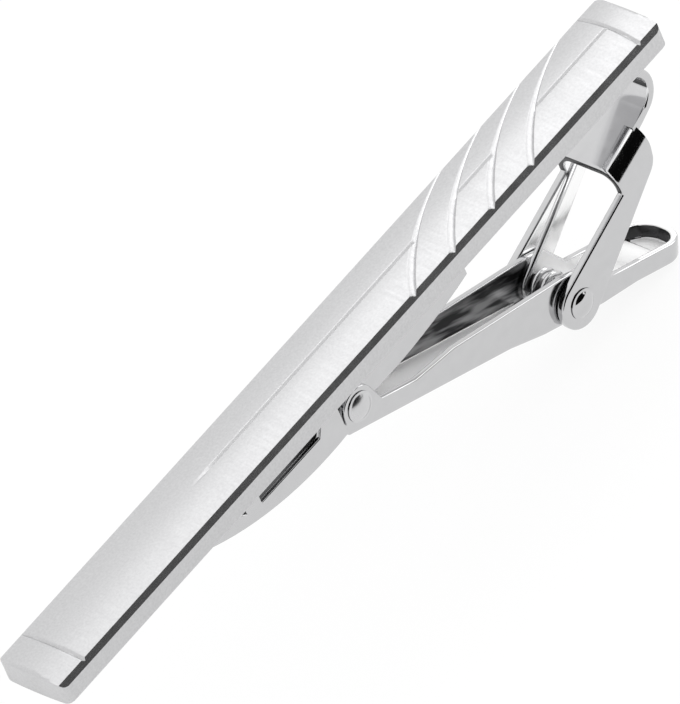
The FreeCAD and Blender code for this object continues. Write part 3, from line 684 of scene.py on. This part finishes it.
# %% Finish the bar
def shade_smooth(bm, crease):
    """Shade smooth, with every edge that is sharper than the crease left hard."""
    for edge in bm.edges:
        edge.smooth = not (edge.is_manifold and edge.calc_face_angle() > crease)
    for face in bm.faces:
        face.smooth = True


def finish_piece(bm, name, body, node, materials):
    """Turn a bmesh into a piece that stands for a CAD node and rides on its body."""
    piece = add_object(name, new_mesh(bm, name))
    for material in materials:
        piece.data.materials.append(material)
    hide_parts(node)
    if body:
        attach(piece, body)
    print(f"{name}: {len(piece.data.polygons)} faces")
    return piece


BAR_CREASE = math.radians(32)
# How far a face has to look sideways, up or down, as parts of its normal.
BEVEL_SIDEWAYS = 0.5
BEVEL_UPWARDS = 0.4
BACK_DOWNWARDS = -0.9


def bar_finish(face):
    """Bright on the cut bevels, pale with painted light on the back, satin elsewhere."""
    if abs(face.normal.y) > BEVEL_SIDEWAYS and face.normal.z > BEVEL_UPWARDS:
        return bright_cut
    # The back gets painted light, a pale mirror.
    return painted_highlight_pale if face.normal.z < BACK_DOWNWARDS else satin


bar_finishes = [satin, bright_cut, painted_highlight_pale]
shade_smooth(bm, BAR_CREASE)
for face in bm.faces:
    face.normal_update()
    face.material_index = bar_finishes.index(bar_finish(face))
finish_piece(bm, "satin_bar", "bar", "front_bar", bar_finishes)

# %% [markdown]
# ## The bent sheet
# The bracket, the lever and the jaw are stamped from bright sheet, and tumbling rounds every stamped
# edge. The CAD solids have the right shape and sharp edges. So each is copied, its loose triangles are
# merged and its flat areas made whole faces again, and then its edges are rounded like tumbled ones.

# %% Round the stamped edges
WELD = 1e-6
SPLIT_SNAP = 1e-7
FLAT_ENOUGH = math.radians(0.3)
STAMPED_EDGE = math.radians(50)
SHEET_CREASE = math.radians(40)
EASING_STEPS = 4


def inside(place, box):
    """Whether a place is inside a box given in millimetres."""
    return all(low * MM <= part <= high * MM for part, low, high in zip(place, *box))


def tumbled(node, name, body, easing, materials, finish, seam=None, splits=()):
    """A copy of a CAD node with its sharp edges rounded, but not those in the seam's box.

    The finish test gives a face's material, and the splits are where along X a finish may change.
    """
    bm = bmesh.new()
    bm.from_mesh(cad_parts[node].data)
    bmesh.ops.remove_doubles(bm, verts=bm.verts, dist=WELD)
    bmesh.ops.dissolve_limit(bm, angle_limit=FLAT_ENOUGH, verts=bm.verts, edges=bm.edges)
    for split in splits:
        cut_through(bm, (split * MM, 0, 0), (1, 0, 0), SPLIT_SNAP)
    sharp = [edge for edge in bm.edges if edge.is_manifold and edge.calc_face_angle() > STAMPED_EDGE]
    if seam:
        sharp = [edge for edge in sharp if not any(inside(vertex.co, seam) for vertex in edge.verts)]
    bmesh.ops.bevel(bm, geom=sharp, affect="EDGES", offset=easing * MM, segments=EASING_STEPS, profile=0.5,
                    material=-1, clamp_overlap=False)
    for face in bm.faces:
        face.normal_update()
        face.material_index = materials.index(finish(face))
    bmesh.ops.triangulate(bm, faces=[face for face in bm.faces if len(face.verts) > 4])
    shade_smooth(bm, SHEET_CREASE)
    piece = finish_piece(bm, name, body, node, materials)
    piece.modifiers.new("weighted_normals", "WEIGHTED_NORMAL").keep_sharp = True


print("tumbling rounds edges sharper than", round(math.degrees(STAMPED_EDGE)), "degrees")

# %% Tell the walls and the floor of a channel
# The facings here and below are limits for parts of a face's normal.
WALL_FACING = 0.9
FLOOR_FACING = 0.7
FLOOR_SIDE = 1.48


def looks_inwards(face, centre):
    """Whether a wall's face looks towards the middle of the sheet channel."""
    return face.normal.y * centre.y < 0 and abs(face.normal.y) > WALL_FACING


def is_floor(face, centre):
    """Whether a face is the floor of the sheet channel, between its walls."""
    return face.normal.z > FLOOR_FACING and abs(centre.y) < FLOOR_SIDE


print("a channel's floor is", 2 * FLOOR_SIDE, "mm wide at most")

# %% [markdown]
# ### The bracket
# One strip makes the whole bracket. Its foot is soldered under the bar, then it hooks round, slopes back
# and arches over into two legs. Its finish changes from face to face, some of it painted light and painted
# shade, so a short test picks one for each face, by where the face is and which way it looks. The edges of
# the strip's seam stay sharp.

# %% The bracket
BRACKET_EASING = 0.16
STRIP_SEAM = ((24.55, -2.7, -5.0), (25.2, 2.7, -3.4))
ARCH_ROOM = ((21.75, -2.04, -6.6), (24.85, 2.04, -3.5))
LIP_LEVEL = -6.6
HOOK_X = 25.5
HOOK_Z = -1.9
UNDERSIDE = -0.2
CUT_FRONT = -0.97
NEAR_BEND = (-0.62, -0.08)
BEND_UPWARDS = 0.2
HOOK_UPWARDS = 0.3
HOOK_SIDEWAYS = 0.35


def in_hook(face, centre):
    """Whether a face is on the inner side of the strip, which the hook wraps."""
    from_hook = Vector((centre.x - HOOK_X, 0, centre.z - HOOK_Z))
    under_bar = centre.z < HOOK_Z and face.normal.z > HOOK_UPWARDS
    round_hook = from_hook.x > 0 and face.normal.dot(from_hook) < 0
    return abs(face.normal.y) < HOOK_SIDEWAYS and (under_bar or round_hook)


def on_near_bend(face, centre):
    """Whether a face is on the near side of the bend from the plate into the leg."""
    behind_arch = centre.x > ARCH_ROOM[0][0] and centre.z < HOOK_Z
    return behind_arch and NEAR_BEND[0] < face.normal.y < NEAR_BEND[1] and face.normal.z > BEND_UPWARDS


def bracket_finish(face):
    """Painted light between the legs and on the near bend, painted shade on the arch's cut front, clear in
    the hook, soft bright elsewhere.
    """
    centre = face.calc_center_median() / MM
    under_plate = face.normal.z < UNDERSIDE and inside(centre * MM, ARCH_ROOM)
    # The faces inside the opening get painted light, near white.
    if looks_inwards(face, centre) or under_plate:
        return painted_light_white
    # The arch's cut front is painted nearly black: painted shade and painted dark reflection.
    if face.normal.x < CUT_FRONT and centre.z > LIP_LEVEL:
        return painted_shade_dark
    # The near bend gets painted light, a pale mirror.
    if on_near_bend(face, centre):
        return painted_highlight_pale
    return bright_inside if in_hook(face, centre) else soft_bright


tumbled("hinge_bracket", "bent_bracket", "bar", BRACKET_EASING,
        [soft_bright, painted_light_white, painted_shade_dark, bright_inside, painted_highlight_pale], bracket_finish, seam=STRIP_SEAM)

# %% [markdown]
# ### The lever and the jaw
# Both are folded channels. The lever turns on the pivot, is pinched at its tail and carries the jaw in
# front. Its walls change finish beside the coil, in the middle of long flat faces, so those are cut there
# first and each finish ends on a clean line.

# %% The lever and the jaw
LEVER_EASING = 0.12
JAW_EASING = 0.10
COIL_FRONT = 16.2
COIL_REAR = 21.5
PAN_CENTRE = 24.25
PAN_UPRIGHT = 0.6


def lever_finish(face):
    """Painted shade with streaks along the channel, painted light by the coil and on the floor, painted
    shade round the tail's pan.
    """
    centre = face.calc_center_median() / MM
    if looks_inwards(face, centre):
        # In front of the coil the walls get painted shade with painted streaks of reflection.
        if centre.x < COIL_FRONT:
            return painted_shade_streaked
        # By the coil the walls get painted light, and behind it painted shade.
        return painted_light_walls if centre.x < COIL_REAR else painted_shade_dark
    # The floor gets painted light, nearly white.
    if is_floor(face, centre):
        return painted_light_floor
    from_pan = Vector((centre.x - PAN_CENTRE, centre.y, 0))
    round_pan = from_pan.x > 0 and face.normal.dot(from_pan) < 0
    # Round the tail's pan the upright faces get painted shade, nearly black.
    return painted_shade_dark if round_pan and abs(face.normal.z) < PAN_UPRIGHT else soft_bright


def jaw_finish(face):
    """Painted shade inside the channel, bright outside."""
    centre = face.calc_center_median() / MM
    return painted_shade_inside if looks_inwards(face, centre) or is_floor(face, centre) else soft_bright


tumbled("lever", "pinch_lever", "lever", LEVER_EASING,
        [soft_bright, painted_shade_streaked, painted_light_walls, painted_light_floor, painted_shade_dark], lever_finish,
        splits=(COIL_FRONT, COIL_REAR))
tumbled("swivel_jaw", "rocking_jaw", "jaw", JAW_EASING, [soft_bright, painted_shade_inside], jaw_finish)

# %% [markdown]
# ## The rivets
# A rivet starts as a plain pin, and a spinning punch spreads its ends into domes. A dome like that is
# turned work, so half of its outline is drawn once, in the plane of its axis, and spun all the way round.

# %% Spin the rivets
RIVET_STEPS = 48
DOME_STEPS = 10
HEAD_HEIGHT = 0.36
BRIM_HEIGHT = 0.05
DOME_RADIUS = 0.90
PIVOT_SHANK = 0.5
JAW_SHANK = 0.45
SPIN_WELD = 1e-7
FULL_TURN = 2 * math.pi


def rivet_outline(head, tip, shank):
    """Half a rivet's outline, as pairs of a radius and a place along the axis, from tip to tip."""
    seat = tip - HEAD_HEIGHT * MM
    brim = seat + BRIM_HEIGHT * MM
    base = DOME_RADIUS * MM
    ball = (base ** 2 + (tip - brim) ** 2) / (2 * (tip - brim))
    slant = math.asin(base / ball)
    angles = [slant * step / DOME_STEPS for step in range(DOME_STEPS + 1)]
    dome = [(ball * math.sin(angle), tip - ball * (1 - math.cos(angle))) for angle in angles]
    half = dome + [(head, brim), (head, seat), (shank * MM, seat)]
    return half + [(radius, -along) for radius, along in reversed(half)]


def spun_rivet(node, name, body, shank, finish):
    """A shank with a dome at each end, spun about the node's own axis along Y."""
    low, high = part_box(node)
    centre = (low + high) / 2
    tip = (high.y - low.y) / 2
    bm = bmesh.new()
    points = [bm.verts.new((centre.x + radius, along, centre.z))
              for radius, along in rivet_outline((high.x - low.x) / 2, tip, shank)]
    lines = [bm.edges.new(pair) for pair in zip(points, points[1:])]
    bmesh.ops.spin(bm, geom=points + lines, cent=centre, axis=(0, 1, 0), angle=FULL_TURN,
                   steps=RIVET_STEPS, use_merge=True)
    bmesh.ops.remove_doubles(bm, verts=bm.verts, dist=SPIN_WELD)
    bmesh.ops.recalc_face_normals(bm, faces=bm.faces)
    shade_smooth(bm, SHEET_CREASE)
    for face in bm.faces:
        middle = face.calc_center_median() - centre
        on_shank = math.hypot(middle.x, middle.z) < shank * MM and abs(middle.y) < tip - HEAD_HEIGHT * MM
        # The shank gets painted shade, so that the gaps between the coil's turns look dark.
        face.material_index = 1 if on_shank else 0
    finish_piece(bm, name, body, node, [finish, painted_shade_inside])


spun_rivet("pivot_rivet", "domed_pivot_rivet", "bar", PIVOT_SHANK, bright)
spun_rivet("jaw_rivet", "domed_jaw_rivet", "lever", JAW_SHANK, brushed_inside)

# %% [markdown]
# ## The spring
# The spring is wound from hard drawn wire on a mandrel, turn beside turn, and its ends stand off as two
# straight legs: one presses up under the bracket's plate, the other down on the lever's floor. A curve
# with a round section does the same: its points run up one leg, round the turns and out along the other.

# %% The spring's route, in millimetres from the pivot
COIL_RADIUS = 1.10
COIL_TURNS = 4
COIL_HALF = 1.22
UPPER_TIP = Vector((6.3, COIL_HALF, 4.86))
LOWER_TIP = Vector((4.38, -COIL_HALF, -2.16))
TURN_STEPS = 36


def grazing(tip, side):
    """The angle at which a straight leg from a tip touches the coil."""
    return math.atan2(tip.z, tip.x) + side * math.acos(COIL_RADIUS / math.hypot(tip.x, tip.z))


first = grazing(UPPER_TIP, 1)
sweep = (grazing(LOWER_TIP, -1) - first) % FULL_TURN + FULL_TURN * (COIL_TURNS - 1)
count = round(sweep / FULL_TURN * TURN_STEPS)
route = [UPPER_TIP]
for step in range(count + 1):
    angle = first + sweep * step / count
    along = COIL_HALF * (1 - 2 * step / count)
    route.append(Vector((COIL_RADIUS * math.cos(angle), along, COIL_RADIUS * math.sin(angle))))
route.append(LOWER_TIP)
print(f"spring: {sweep / FULL_TURN:.2f} turns in {len(route)} points")

# %% Wind the spring
PIVOT = Vector((15.9, 0, -10.1))
WIRE = 0.42
WIRE_ROUNDNESS = 4

wire_curve = bpy.data.curves.new("spring_route", "CURVE")
wire_curve.dimensions = "3D"
wire_curve.bevel_depth = WIRE / 2 * MM
wire_curve.bevel_resolution = WIRE_ROUNDNESS
wire_curve.use_fill_caps = True
spline = wire_curve.splines.new("POLY")
spline.points.add(len(route) - 1)
for point, place in zip(spline.points, route):
    point.co = (*((PIVOT + place) * MM), 1.0)
wire_object = add_object("spring_route", wire_curve)
bpy.context.view_layer.update()
wire_seen = wire_object.evaluated_get(bpy.context.evaluated_depsgraph_get())
wire_mesh = bpy.data.meshes.new_from_object(wire_seen)
bpy.data.objects.remove(wire_object)

bm = bmesh.new()
bm.from_mesh(wire_mesh)
bmesh.ops.remove_doubles(bm, verts=bm.verts, dist=SPIN_WELD)
bmesh.ops.recalc_face_normals(bm, faces=bm.faces)
for face in bm.faces:
    face.smooth = True
spring = finish_piece(bm, "wound_spring", None, "torsion_spring", [drawn_wire])
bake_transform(spring)
